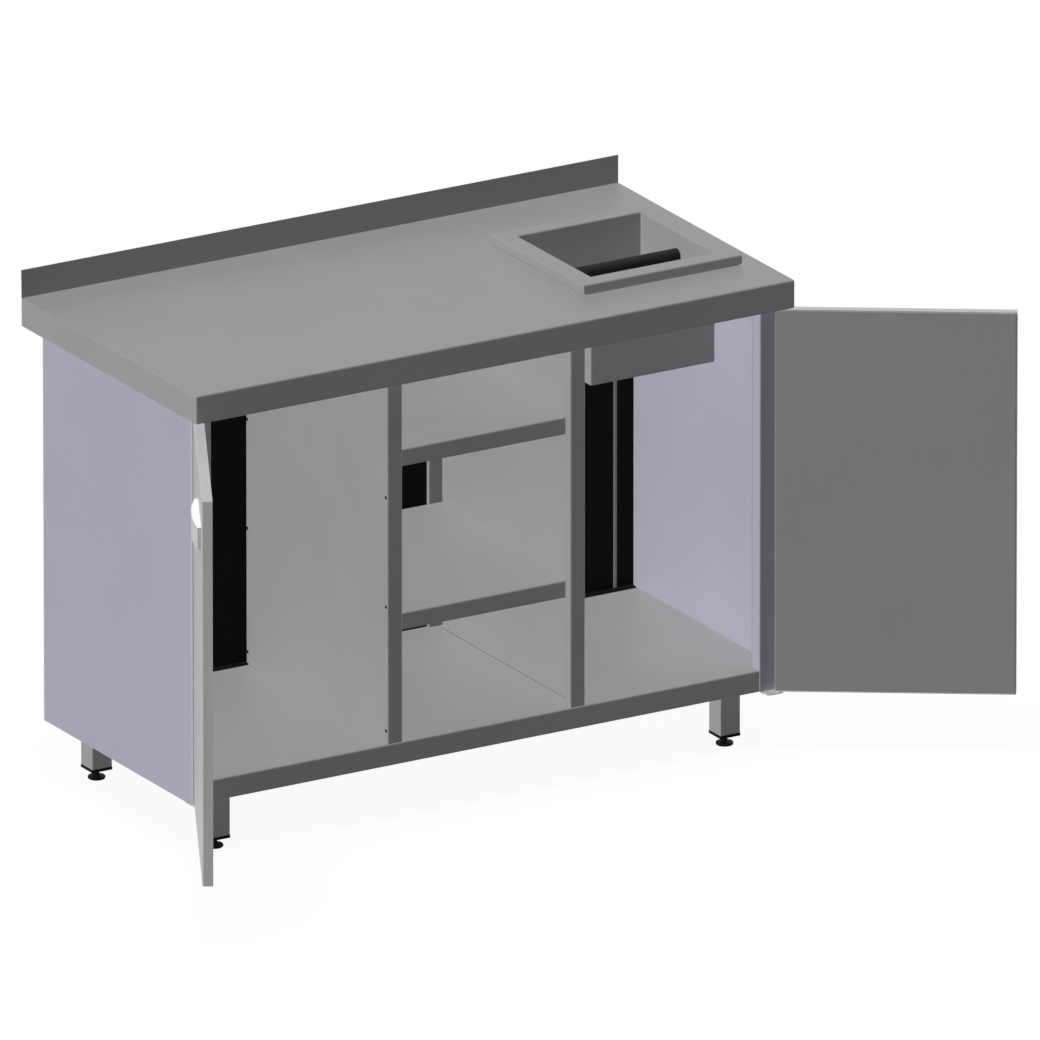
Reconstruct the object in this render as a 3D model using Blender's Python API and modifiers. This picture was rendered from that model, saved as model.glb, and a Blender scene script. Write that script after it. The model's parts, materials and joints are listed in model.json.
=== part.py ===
"""Bar station: a stainless steel back-bar cabinet with a drop-in knock box, two hinged doors and an open bay.

Metres, +X to the right, +Y to the back, +Z up. The cabinet is drawn about the floor point under the middle of
its worktop. The finished assembly is then moved so that the origin lies on the floor in the middle of its whole
footprint, with the doors standing open.
"""

import math

import bmesh
import bpy
import numpy as np
from mathutils import Matrix, Vector

# Sheet metal
SHEET = 0.0015
BEND_RADIUS = 0.003
BEND_STEPS = 3
SEAT_GAP = 0.0003
CUT_OVERSHOOT = 0.005

# Worktop
TOP_WIDTH = 1.200
TOP_DEPTH = 0.600
TOP_HEIGHT = 0.865
APRON_HEIGHT = 0.052
APRON_HEM = 0.006
UPSTAND_HEIGHT = 0.051
STIFFENER_SIDE_CLEARANCE = 0.008
STIFFENER_HEIGHT = 0.025
STIFFENER_BRIM = 0.012
STIFFENER_END_CLEARANCE = 0.012

# Carcass
SIDE_OVERHANG = 0.010
FRONT_SETBACK = 0.034
REAR_SETBACK = 0.055
BASE_CLEAR_HEIGHT = 0.106
BASE_SKIRT_HEIGHT = 0.040
BASE_RETURN = 0.015
SIDE_FLANGE = 0.040
SIDE_LIP = 0.027
SIDE_REAR_FLANGE = 0.038
RAIL_DROP = 0.002
RAIL_DEPTH = 0.030

# Partitions and shelves of the middle bay
BAY_WIDTH = 0.397
PARTITION_FLANGE = 0.030
PARTITION_LIP = 0.017
PARTITION_REAR_LIP = 0.006
SHELF_LIP_HEIGHT = 0.032
SHELF_RETURN = 0.012
SHELF_HEIGHTS = {"lower": 0.3755, "upper": 0.675}
SHELF_BRACKET_LEG = 0.020
SHELF_BRACKET_END_CLEARANCE = 0.030

# Back
BACK_INSET = 0.020
BACK_HEM = 0.010
BACK_CORNER_WIDTH = 0.035
BACK_JOINT_WIDTH = 0.005

# Legs and feet
LEG_SIZE = 0.040
LEG_CORNER = 0.002
LEG_BOTTOM = 0.024
LEG_INSET_SIDE = 0.077
LEG_INSET_FRONT = 0.056
LEG_INSET_REAR = 0.050
LEG_PLATE_SIZE = 0.070
LEG_PLATE_THICKNESS = 0.003
PLUG_FLANGE = 0.0055
PLUG_SPIGOT = 0.028
FOOT_RADIUS = 0.0155
FOOT_PAD = 0.005
FOOT_EDGE = 0.001
FOOT_HUB_RADIUS = 0.008
FOOT_HEIGHT = 0.009
FOOT_STUD_RADIUS = 0.005
FOOT_STUD_LENGTH = 0.045
RUNNING_CLEARANCE = 0.0003

# Doors
DOOR_THICKNESS = 0.0185
DOOR_SKIN = 0.001
DOOR_BEND = 0.002
DOOR_FRONT_GAP = 0.003
DOOR_REVEAL = 0.0015
DOOR_TOP_CLEARANCE = 0.0025
DOOR_BOTTOM_CLEARANCE = 0.0025
DOOR_INNER_FLANGE = 0.004
HINGE_INSET = 0.0078
LEFT_DOOR_OPEN = math.radians(118.3)
RIGHT_DOOR_OPEN = math.radians(147.0)

# Pivot hinges
BRACKET_WIDTH = 0.062
BRACKET_THICKNESS = 0.0025
BRACKET_SEAT = 0.027
BRACKET_SEAT_SETBACK = 0.010
BRACKET_NOSE_WIDTH = 0.034
BRACKET_NOSE = 0.0065
BRACKET_NOSE_RADIUS = 0.010
BRACKET_CORNER = 0.003
PIN_RADIUS = 0.0025
PIN_HEAD_RADIUS = 0.0035
PIN_HEAD_HEIGHT = 0.0015
PIN_HEAD_EDGE = 0.0005
PIN_REACH = 0.013
BUSH_RADIUS = 0.0039
BUSH_FLANGE_RADIUS = 0.005
BUSH_LENGTH = 0.015

# Door handles
HANDLE_LENGTH = 0.150
HANDLE_HEIGHT = 0.040
HANDLE_END_DEPTH = 0.006
HANDLE_DEPTH = 0.0145
HANDLE_WALL = 0.0022
HANDLE_LUG = 0.014
HANDLE_EDGE = 0.0015
HANDLE_EDGE_STEPS = 2
HANDLE_EDGE_ANGLE = math.radians(60)
HANDLE_FROM_EDGE = 0.025
HANDLE_FROM_TOP = 0.057
HANDLE_ARC_STEPS = 16
HANDLE_PLATE_HEIGHT = 0.032
HANDLE_PLATE_THICKNESS = 0.002
HANDLE_STUD_RADIUS = 0.002
HANDLE_STUD_ROOT = 0.002
HANDLE_STUD_LENGTH = 0.008

# Magnet catches
CATCH_WIDTH = 0.034
CATCH_HEIGHT = 0.013
CATCH_DEPTH = 0.020
CATCH_FROM_PARTITION = 0.013
CATCH_DOOR_GAP = 0.002
CATCH_WALL = 0.003
MAGNET_PROUD = 0.001

# Knock box
KNOCK_FROM_RIGHT = 0.197
KNOCK_FORWARD = 0.025
KNOCK_OPENING = 0.249
KNOCK_BORDER = 0.0355
KNOCK_RIM_HEIGHT = 0.0165
KNOCK_DEPTH = 0.200
KNOCK_SHEET = 0.0012
KNOCK_BEND = 0.0025
CUTOUT_CLEARANCE = 0.006
GASKET_THICKNESS = 0.0012
GASKET_WIDTH = 0.010
BAR_DROP = 0.042
BAR_RADIUS = 0.0125
BAR_CORE_RADIUS = 0.007
BAR_END_RADIUS = 0.004
BAR_NUT_RADIUS = 0.0075
BAR_NUT_HEIGHT = 0.005
BAR_SLEEVE_END_GAP = 0.001

ROUND_STEPS = 24
SMALL_ROUND_STEPS = 16
NUT_SIDES = 6
MERGE_DISTANCE = 0.00001
SMOOTH_ANGLE = math.radians(35)
BEND_ANGLE = math.radians(30)

# Sizes that follow from the ones above
SIDE_X = TOP_WIDTH / 2 - SIDE_OVERHANG
FRONT_Y = -TOP_DEPTH / 2 + FRONT_SETBACK
REAR_Y = TOP_DEPTH / 2 - REAR_SETBACK
TOP_UNDERSIDE = TOP_HEIGHT - SHEET
CARCASS_TOP = TOP_UNDERSIDE - SEAT_GAP
APRON_BOTTOM = TOP_HEIGHT - APRON_HEIGHT
RAIL_BOTTOM = APRON_BOTTOM + RAIL_DROP
BASE_Z = BASE_CLEAR_HEIGHT
DECK_Z = BASE_Z + BASE_SKIRT_HEIGHT
INNER_X = SIDE_X - SHEET - SEAT_GAP
TRAY_REAR = REAR_Y - BEND_RADIUS - SEAT_GAP
PARTITION_X = BAY_WIDTH / 2
BACK_Y = REAR_Y - BACK_INSET - SHEET
PARTITION_REAR_FACE = BACK_Y - SEAT_GAP - PARTITION_REAR_LIP
PARTITION_BOTTOM = DECK_Z + SEAT_GAP
PARTITION_TOP = RAIL_BOTTOM - SEAT_GAP
HINGE_X = SIDE_X - HINGE_INSET
DOOR_INNER_Y = FRONT_Y - DOOR_FRONT_GAP
HINGE_Y = DOOR_INNER_Y - DOOR_THICKNESS / 2
DOOR_WIDTH = SIDE_X - (PARTITION_X - PARTITION_FLANGE) - DOOR_REVEAL
DOOR_TOP = APRON_BOTTOM - DOOR_TOP_CLEARANCE
DOOR_BOTTOM = BASE_Z + DOOR_BOTTOM_CLEARANCE
TOP_BRACKET_Z = RAIL_BOTTOM - SEAT_GAP - BRACKET_THICKNESS
BOTTOM_BRACKET_Z = BASE_Z - SEAT_GAP - BRACKET_THICKNESS
KNOCK_X = TOP_WIDTH / 2 - KNOCK_FROM_RIGHT
KNOCK_Y = -KNOCK_FORWARD
KNOCK_RIM = KNOCK_OPENING + 2 * KNOCK_BORDER
GASKET_Z = TOP_HEIGHT + SEAT_GAP
KNOCK_SKIRT_Z = GASKET_Z + GASKET_THICKNESS + SEAT_GAP
KNOCK_TOP = KNOCK_SKIRT_Z + KNOCK_RIM_HEIGHT
KNOCK_CUTOUT = KNOCK_OPENING + 2 * KNOCK_SHEET + 2 * CUTOUT_CLEARANCE

STEEL = ((0.33, 0.33, 0.33), 0.35, 0.9)
LIGHT_STEEL = ((0.47, 0.47, 0.47), 0.35, 0.9)
COATED = ((0.36, 0.355, 0.43), 0.5, 0.0)
BLACK_SHEET = ((0.006, 0.006, 0.006), 0.5, 0.0)
BLACK_PLASTIC = ((0.008, 0.008, 0.008), 0.55, 0.0)
RUBBER = ((0.007, 0.007, 0.007), 0.7, 0.0)
NYLON = ((0.6, 0.6, 0.58), 0.5, 0.0)
BRIGHT = ((0.9, 0.9, 0.9), 0.2, 1.0)
ZINC = ((0.5, 0.5, 0.5), 0.35, 1.0)
MAGNET = ((0.08, 0.08, 0.08), 0.4, 0.6)


def clear_scene():
    for old in list(bpy.data.objects):
        bpy.data.objects.remove(old)


def new_collection(name):
    collection = bpy.data.collections.new(name)
    bpy.context.scene.collection.children.link(collection)
    return collection


clear_scene()
PARTS = new_collection("bar_station")
CUTTERS = new_collection("cutters")
CUTTERS.hide_render = True


def empty(name, location, turn=0.0, parent=None):
    frame = bpy.data.objects.new(name, None)
    frame.location = location
    frame.rotation_euler.z = turn
    frame.parent = parent
    PARTS.objects.link(frame)
    return frame


ROOT = empty("station", (0, 0, 0))


def to_mesh(name, bm):
    mesh = bpy.data.meshes.new(name)
    bm.to_mesh(mesh)
    bm.free()
    return mesh


def part(name, mesh, finish, parent=ROOT, location=(0, 0, 0), smooth=False):
    """A named sub-part with its own material."""
    colour, roughness, metallic = finish
    material = bpy.data.materials.new(name + "_finish")
    material.use_nodes = True
    shader = material.node_tree.nodes["Principled BSDF"]
    shader.inputs["Base Color"].default_value = (*colour, 1)
    shader.inputs["Roughness"].default_value = roughness
    shader.inputs["Metallic"].default_value = metallic
    if smooth:
        mesh.shade_smooth()
        mesh.set_sharp_from_angle(angle=SMOOTH_ANGLE)
    mesh.materials.clear()
    mesh.materials.append(material)
    piece = bpy.data.objects.new(name, mesh)
    piece.parent = parent
    piece.location = location
    PARTS.objects.link(piece)
    return piece


def combine(piece, name, bm, operation):
    """Cuts a closed shape, given in the piece's own frame, out of the piece, or welds it on."""
    tool = bpy.data.objects.new(name, to_mesh(name, bm))
    tool.parent = piece.parent
    tool.location = piece.location
    tool.hide_render = True
    tool.display_type = "WIRE"
    CUTTERS.objects.link(tool)
    boolean = piece.modifiers.new(name, "BOOLEAN")
    boolean.operation = operation
    boolean.solver = "EXACT"
    boolean.object = tool


def cut(piece, name, bm):
    combine(piece, name, bm, "DIFFERENCE")


def weld(piece, name, bm):
    combine(piece, name, bm, "UNION")


def thicken(piece, thickness):
    """Gives an open surface its sheet thickness, on the side away from its normals."""
    solid = piece.modifiers.new("Sheet", "SOLIDIFY")
    solid.thickness = thickness
    solid.offset = -1
    solid.use_even_offset = True


def round_folds(piece, radius, steps=BEND_STEPS):
    bevel = piece.modifiers.new("Bends", "BEVEL")
    bevel.width = radius
    bevel.segments = steps
    bevel.limit_method = "ANGLE"
    bevel.angle_limit = BEND_ANGLE


def add_box(bm, low, high):
    low = Vector(low)
    high = Vector(high)
    place = Matrix.Translation((low + high) / 2) @ Matrix.Diagonal((*(high - low), 1))
    return bmesh.ops.create_cube(bm, size=1, matrix=place)["verts"]


def add_cylinder(bm, centre, axis, radius, length, steps=ROUND_STEPS):
    turn = Vector((0, 0, 1)).rotation_difference(Vector(axis)).to_matrix().to_4x4()
    bmesh.ops.create_cone(
        bm,
        cap_ends=True,
        segments=steps,
        radius1=radius,
        radius2=radius,
        depth=length,
        matrix=Matrix.Translation(centre) @ turn,
    )


def face_out(bm, probe, outward):
    """Turns all normals over if the probe face looks away from the given direction."""
    bmesh.ops.recalc_face_normals(bm, faces=bm.faces)
    probe.normal_update()
    if probe.normal.dot(Vector(outward)) < 0:
        bmesh.ops.reverse_faces(bm, faces=bm.faces)


def arc_corner(before, corner, after, radius):
    """The points of a right-angled bend of a path, drawn as an arc."""
    into = (Vector(corner) - Vector(before)).normalized()
    out = (Vector(after) - Vector(corner)).normalized()
    centre = Vector(corner) - radius * into + radius * out
    turns = [math.pi / 2 * step / BEND_STEPS for step in range(BEND_STEPS + 1)]
    return [centre + radius * (math.sin(turn) * into - math.cos(turn) * out) for turn in turns]


def across(point, along, axis):
    """A path point in space: the path lies across the axis, at the given place along it."""
    first, second = point
    return Vector({"X": (along, first, second), "Y": (first, along, second), "Z": (first, second, along)}[axis])


def add_fold(bm, path, axis, start, end, radius=BEND_RADIUS, closed=False):
    """Adds a folded strip. The path runs along its outer face, and the sheet lies on the path's left."""
    if closed:
        ring = [path[-1], *path, path[0]]
        points = []
    else:
        ring = path
        points = [Vector(path[0])]
    for before, corner, after in zip(ring, ring[1:], ring[2:]):
        points += arc_corner(before, corner, after, radius)
    if not closed:
        points.append(Vector(path[-1]))
    row = [bm.verts.new(across(point, start, axis)) for point in points]
    ends = row[1:] + row[:1] if closed else row[1:]
    edges = [bm.edges.new(pair) for pair in zip(row, ends)]
    swept = bmesh.ops.extrude_edge_only(bm, edges=edges)["geom"]
    moved = [item for item in swept if isinstance(item, bmesh.types.BMVert)]
    faces = [item for item in swept if isinstance(item, bmesh.types.BMFace)]
    bmesh.ops.translate(bm, verts=moved, vec=across((0, 0), end - start, axis))
    first, second = points[1] - points[0]
    outward = across((second, -first), 0, axis)
    probe = next(face for face in faces if row[0] in face.verts and row[1] in face.verts)
    probe.normal_update()
    if probe.normal.dot(outward) < 0:
        bmesh.ops.reverse_faces(bm, faces=faces)


def folded(name, path, axis, start, end, finish, sheet=SHEET, radius=BEND_RADIUS, closed=False):
    bm = bmesh.new()
    add_fold(bm, path, axis, start, end, radius, closed)
    piece = part(name, to_mesh(name, bm), finish, smooth=True)
    thicken(piece, sheet)
    return piece


def mirrored(path):
    """The path on the other side of the middle plane, still with the sheet on its left."""
    return [(-x, y) for x, y in reversed(path)]


def on_side(path, side):
    return path if side > 0 else mirrored(path)


def turned_mesh(profile, steps=ROUND_STEPS, closed=False):
    """A turned shape about Z. The profile is (radius, height) pairs that run down the outer side."""
    bm = bmesh.new()
    row = [bm.verts.new((radius, 0, height)) for radius, height in profile]
    ends = row[1:] + row[:1] if closed else row[1:]
    for pair in zip(row, ends):
        bm.edges.new(pair)
    blank = bpy.data.objects.new("profile", to_mesh("profile", bm))
    CUTTERS.objects.link(blank)
    screw = blank.modifiers.new("Turn", "SCREW")
    screw.steps = steps
    screw.render_steps = steps
    screw.use_merge_vertices = True
    screw.merge_threshold = MERGE_DISTANCE
    graph = bpy.context.evaluated_depsgraph_get()
    turned = bpy.data.meshes.new_from_object(blank.evaluated_get(graph))
    bpy.data.objects.remove(blank)
    return turned


def outline_mesh(name, outline, thickness):
    """A flat closed outline in XY, given as a mesh of that thickness about Z = 0."""
    curve = bpy.data.curves.new(name, "CURVE")
    curve.dimensions = "2D"
    curve.fill_mode = "BOTH"
    curve.extrude = thickness / 2
    spline = curve.splines.new("POLY")
    spline.points.add(len(outline) - 1)
    for point, (x, y) in zip(spline.points, outline):
        point.co = (x, y, 0, 1)
    spline.use_cyclic_u = True
    blank = bpy.data.objects.new(name, curve)
    CUTTERS.objects.link(blank)
    graph = bpy.context.evaluated_depsgraph_get()
    flat = bpy.data.meshes.new_from_object(blank.evaluated_get(graph))
    bpy.data.objects.remove(blank)
    bm = bmesh.new()
    bm.from_mesh(flat)
    bmesh.ops.remove_doubles(bm, verts=bm.verts, dist=MERGE_DISTANCE)
    bmesh.ops.recalc_face_normals(bm, faces=bm.faces)
    return bm


def group(placed):
    """One mesh that holds a separate copy of each given mesh at its place."""
    bm = bmesh.new()
    for mesh, place in placed:
        count = len(bm.verts)
        bm.from_mesh(mesh)
        bm.verts.ensure_lookup_table()
        bmesh.ops.transform(bm, matrix=place, verts=bm.verts[count:])
    return bm


def headed_profile(head_radius, head_height, radius, length):
    """A pan head that stands on Z = 0, with its shank below."""
    return [
        (0, head_height),
        (head_radius - PIN_HEAD_EDGE, head_height),
        (head_radius, head_height - PIN_HEAD_EDGE),
        (head_radius, 0),
        (radius, 0),
        (radius, -length),
        (0, -length),
    ]


def tube_profile(outer, inner, top, bottom):
    return [(outer, top), (outer, bottom), (inner, bottom), (inner, top)]


def make_worktop():
    """One sheet: flat top, apron with a hem on three sides, and an upstand along the back."""
    front = -TOP_DEPTH / 2
    rear = TOP_DEPTH / 2 - SHEET
    bm = bmesh.new()
    middle = Matrix.Translation((0, (front + rear) / 2, TOP_HEIGHT))
    spread = Matrix.Diagonal((TOP_WIDTH, rear - front, 1, 1))
    bmesh.ops.create_grid(bm, x_segments=1, y_segments=1, size=0.5, matrix=middle @ spread)
    top = bm.faces[:][0]
    rear_edges = [edge for edge in top.edges if all(vert.co.y > 0 for vert in edge.verts)]
    apron_edges = [edge for edge in top.edges if edge not in rear_edges]
    upstand = bmesh.ops.extrude_edge_only(bm, edges=rear_edges)["geom"]
    raised = [item for item in upstand if isinstance(item, bmesh.types.BMVert)]
    bmesh.ops.translate(bm, verts=raised, vec=(0, 0, UPSTAND_HEIGHT))
    apron = bmesh.ops.extrude_edge_only(bm, edges=apron_edges)["geom"]
    lowered = [item for item in apron if isinstance(item, bmesh.types.BMVert)]
    bmesh.ops.translate(bm, verts=lowered, vec=(0, 0, -APRON_HEIGHT))
    hem_edges = [
        item
        for item in apron
        if isinstance(item, bmesh.types.BMEdge) and all(vert in lowered for vert in item.verts)
    ]
    hem = bmesh.ops.extrude_edge_only(bm, edges=hem_edges)["geom"]
    for vert in (item for item in hem if isinstance(item, bmesh.types.BMVert)):
        vert.co.x -= math.copysign(APRON_HEM, vert.co.x)
        if vert.co.y < 0:
            vert.co.y += APRON_HEM
    face_out(bm, top, (0, 0, 1))
    worktop = part("worktop", to_mesh("worktop", bm), STEEL, smooth=True)
    round_folds(worktop, BEND_RADIUS)
    thicken(worktop, SHEET)
    hole = bmesh.new()
    reach = KNOCK_CUTOUT / 2
    add_box(
        hole,
        (KNOCK_X - reach, KNOCK_Y - reach, TOP_UNDERSIDE - CUT_OVERSHOOT),
        (KNOCK_X + reach, KNOCK_Y + reach, TOP_HEIGHT + CUT_OVERSHOOT),
    )
    cut(worktop, "worktop_cutout", hole)


def make_stiffener(name, near, far):
    """A hat section welded under the worktop sheet, between two places in Y."""
    middle = (near + far) / 2
    half = (far - near) / 2 - STIFFENER_SIDE_CLEARANCE - STIFFENER_BRIM
    low = CARCASS_TOP - STIFFENER_HEIGHT
    path = [
        (middle + half + STIFFENER_BRIM, CARCASS_TOP),
        (middle + half, CARCASS_TOP),
        (middle + half, low),
        (middle - half, low),
        (middle - half, CARCASS_TOP),
        (middle - half - STIFFENER_BRIM, CARCASS_TOP),
    ]
    end = INNER_X - STIFFENER_END_CLEARANCE
    folded(name, path, "X", -end, end, STEEL)


def make_top_frame():
    """Two channel rails under the worktop, and the stiffeners between them and the cut-out."""
    front_back = FRONT_Y + RAIL_DEPTH
    rear_front = TRAY_REAR - RAIL_DEPTH
    front = [
        (front_back, CARCASS_TOP),
        (FRONT_Y, CARCASS_TOP),
        (FRONT_Y, RAIL_BOTTOM),
        (front_back, RAIL_BOTTOM),
    ]
    rear = [
        (rear_front, RAIL_BOTTOM),
        (TRAY_REAR, RAIL_BOTTOM),
        (TRAY_REAR, CARCASS_TOP),
        (rear_front, CARCASS_TOP),
    ]
    folded("top_rail_front", front, "X", -INNER_X, INNER_X, STEEL)
    folded("top_rail_rear", rear, "X", -INNER_X, INNER_X, STEEL)
    make_stiffener("worktop_stiffener_front", front_back, KNOCK_Y - KNOCK_CUTOUT / 2)
    make_stiffener("worktop_stiffener_rear", KNOCK_Y + KNOCK_CUTOUT / 2, rear_front)


def make_side_panel(name, side):
    """A coated sheet folded to a channel post at the front and a flange at the back."""
    inner = SIDE_X - SIDE_FLANGE
    path = [
        (inner, FRONT_Y + SIDE_LIP),
        (inner, FRONT_Y),
        (SIDE_X, FRONT_Y),
        (SIDE_X, REAR_Y),
        (SIDE_X - SIDE_REAR_FLANGE, REAR_Y),
    ]
    panel = folded(name, on_side(path, side), "Z", BASE_Z, CARCASS_TOP, COATED)
    notch = bmesh.new()
    ends = sorted((side * (inner - CUT_OVERSHOOT), side * (INNER_X + SEAT_GAP)))
    deep = FRONT_Y + RAIL_DEPTH + SEAT_GAP
    add_box(
        notch,
        (ends[0], FRONT_Y - CUT_OVERSHOOT, TOP_BRACKET_Z - SEAT_GAP),
        (ends[1], max(deep, FRONT_Y + SIDE_LIP + SEAT_GAP), CARCASS_TOP + CUT_OVERSHOOT),
    )
    cut(panel, name + "_notch", notch)


def make_base():
    """A tray whose front skirt shows under the doors, notched round the posts of the side panels."""
    path = [
        (TRAY_REAR - BASE_RETURN, BASE_Z),
        (TRAY_REAR, BASE_Z),
        (TRAY_REAR, DECK_Z),
        (FRONT_Y, DECK_Z),
        (FRONT_Y, BASE_Z),
        (FRONT_Y + BASE_RETURN, BASE_Z),
    ]
    tray = folded("base_tray", path, "X", -INNER_X, INNER_X, STEEL)
    post = SIDE_X - SIDE_FLANGE - SEAT_GAP
    notch = bmesh.new()
    for side in (-1, 1):
        ends = sorted((side * post, side * (SIDE_X + CUT_OVERSHOOT)))
        add_box(
            notch,
            (ends[0], FRONT_Y - CUT_OVERSHOOT, BASE_Z - CUT_OVERSHOOT),
            (ends[1], FRONT_Y + SIDE_LIP + SEAT_GAP, DECK_Z + CUT_OVERSHOOT),
        )
    cut(tray, "base_tray_notches", notch)


def make_partition(name, side):
    """A folded web with a lipped front flange, and a rear flange that turns back to the rear panel."""
    inner = PARTITION_X - PARTITION_FLANGE
    fold = PARTITION_REAR_FACE + SHEET
    path = [
        (inner, FRONT_Y + PARTITION_LIP),
        (inner, FRONT_Y),
        (PARTITION_X, FRONT_Y),
        (PARTITION_X, fold),
        (inner + SHEET, fold),
        (inner + SHEET, BACK_Y - SEAT_GAP),
    ]
    folded(name, on_side(path, side), "Z", PARTITION_BOTTOM, PARTITION_TOP, STEEL)


def make_shelves():
    """Two folded shelves between the partition webs, each on an angle at either end."""
    end = PARTITION_X - SHEET - SEAT_GAP
    front = FRONT_Y + PARTITION_LIP + SEAT_GAP
    rear = PARTITION_REAR_FACE + SHEET - BEND_RADIUS - SEAT_GAP
    near = front + SHELF_BRACKET_END_CLEARANCE
    far = rear - SHELF_BRACKET_END_CLEARANCE
    for level, top in SHELF_HEIGHTS.items():
        low = top - SHELF_LIP_HEIGHT
        path = [(rear, low), (rear, top), (front, top), (front, low), (front + SHELF_RETURN, low)]
        folded("shelf_" + level, path, "X", -end, end, STEEL)
        seat = top - SHEET - SEAT_GAP
        angle = [(end, seat - SHELF_BRACKET_LEG), (end, seat), (end - SHELF_BRACKET_LEG, seat)]
        for name, side in (("left", -1), ("right", 1)):
            folded("shelf_bracket_" + level + "_" + name, on_side(angle, side), "Y", near, far, STEEL)


def make_back():
    """A black rear panel, a corner strip at either side, and a slim joint strip between them."""
    corner = INNER_X - BACK_CORNER_WIDTH
    half = corner - BACK_JOINT_WIDTH - 2 * SEAT_GAP
    deep = BACK_Y + BACK_HEM
    panel = [(-half, deep), (-half, BACK_Y), (half, BACK_Y), (half, deep)]
    folded("back_panel", panel, "Z", PARTITION_BOTTOM, PARTITION_TOP, BLACK_SHEET)
    angle = [(corner, BACK_Y), (INNER_X, BACK_Y), (INNER_X, TRAY_REAR)]
    for name, side in (("left", -1), ("right", 1)):
        folded(
            "back_corner_" + name, on_side(angle, side), "Z", PARTITION_BOTTOM, PARTITION_TOP, BLACK_SHEET
        )
        strip = bmesh.new()
        ends = sorted((side * (half + SEAT_GAP), side * (corner - SEAT_GAP)))
        add_box(
            strip,
            (ends[0], BACK_Y, PARTITION_BOTTOM),
            (ends[1], deep, PARTITION_TOP),
        )
        part("back_joint_strip_" + name, to_mesh("back_joint_strip_" + name, strip), STEEL)


def leg_places():
    for end, y in (("front", FRONT_Y + LEG_INSET_FRONT), ("rear", REAR_Y - LEG_INSET_REAR)):
        for name, side in (("left", -1), ("right", 1)):
            yield end + "_" + name, side * (SIDE_X - LEG_INSET_SIDE), y


def square(x, y, half):
    return [(x - half, y - half), (x + half, y - half), (x + half, y + half), (x - half, y + half)]


def round_uprights(bm, low, high, radius):
    """Rounds the vertical edges that run from one height to another."""
    middle = (low + high) / 2
    uprights = [
        edge
        for edge in bm.edges
        if edge.verts[0].co.xy == edge.verts[1].co.xy
        and (edge.verts[0].co.z - middle) * (edge.verts[1].co.z - middle) < 0
    ]
    bmesh.ops.bevel(bm, geom=uprights, offset=radius, segments=BEND_STEPS, profile=0.5, affect="EDGES")


def make_plug(name, x, y):
    """A moulded insert: a flange under the tube, a spigot inside it and a bore for the stud."""
    half = LEG_SIZE / 2
    spigot = half - SHEET - SEAT_GAP
    flange_top = LEG_BOTTOM - SEAT_GAP
    bm = bmesh.new()
    add_box(bm, (-half, -half, flange_top - PLUG_FLANGE), (half, half, flange_top))
    top = max(bm.faces, key=lambda face: face.calc_center_median().z)
    bmesh.ops.inset_region(bm, faces=[top], thickness=half - spigot, use_even_offset=True)
    risen = bmesh.ops.extrude_discrete_faces(bm, faces=[top])["faces"][0]
    bmesh.ops.translate(bm, verts=risen.verts, vec=(0, 0, PLUG_SPIGOT))
    round_uprights(bm, flange_top, flange_top + PLUG_SPIGOT, BEND_RADIUS)
    bmesh.ops.recalc_face_normals(bm, faces=bm.faces)
    plug = part(name, to_mesh(name, bm), BLACK_PLASTIC, location=(x, y, 0))
    bore = bmesh.new()
    length = PLUG_FLANGE + PLUG_SPIGOT
    add_cylinder(
        bore,
        (0, 0, flange_top - PLUG_FLANGE + length / 2),
        (0, 0, 1),
        FOOT_STUD_RADIUS + RUNNING_CLEARANCE,
        length + 2 * CUT_OVERSHOOT,
    )
    cut(plug, name + "_bore", bore)


def foot_mesh():
    """A turned foot: a flat pad and a tapered hub, on a stud that screws into the plug."""
    top = FOOT_HEIGHT + FOOT_STUD_LENGTH
    return turned_mesh(
        [
            (0, top),
            (FOOT_STUD_RADIUS - FOOT_EDGE, top),
            (FOOT_STUD_RADIUS, top - FOOT_EDGE),
            (FOOT_STUD_RADIUS, FOOT_HEIGHT),
            (FOOT_HUB_RADIUS, FOOT_PAD),
            (FOOT_RADIUS - FOOT_EDGE, FOOT_PAD),
            (FOOT_RADIUS, FOOT_PAD - FOOT_EDGE),
            (FOOT_RADIUS, FOOT_EDGE),
            (FOOT_RADIUS - FOOT_EDGE, 0),
            (0, 0),
        ]
    )


def make_legs():
    """Square tubes, each welded to a plate under the base and closed by a plug that carries a levelling foot."""
    plate_high = DECK_Z - SHEET - SEAT_GAP
    plate_low = plate_high - LEG_PLATE_THICKNESS
    half = LEG_PLATE_SIZE / 2
    for name, x, y in leg_places():
        outline = square(x, y, LEG_SIZE / 2)
        top = (plate_low + plate_high) / 2
        leg = folded("leg_" + name, outline, "Z", LEG_BOTTOM, top, STEEL, radius=LEG_CORNER, closed=True)
        plate = bmesh.new()
        add_box(plate, (x - half, y - half, plate_low), (x + half, y + half, plate_high))
        weld(leg, "leg_plate_" + name, plate)
        make_plug("leg_plug_" + name, x, y)
        part("levelling_foot_" + name, foot_mesh(), BLACK_PLASTIC, location=(x, y, 0), smooth=True)


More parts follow.
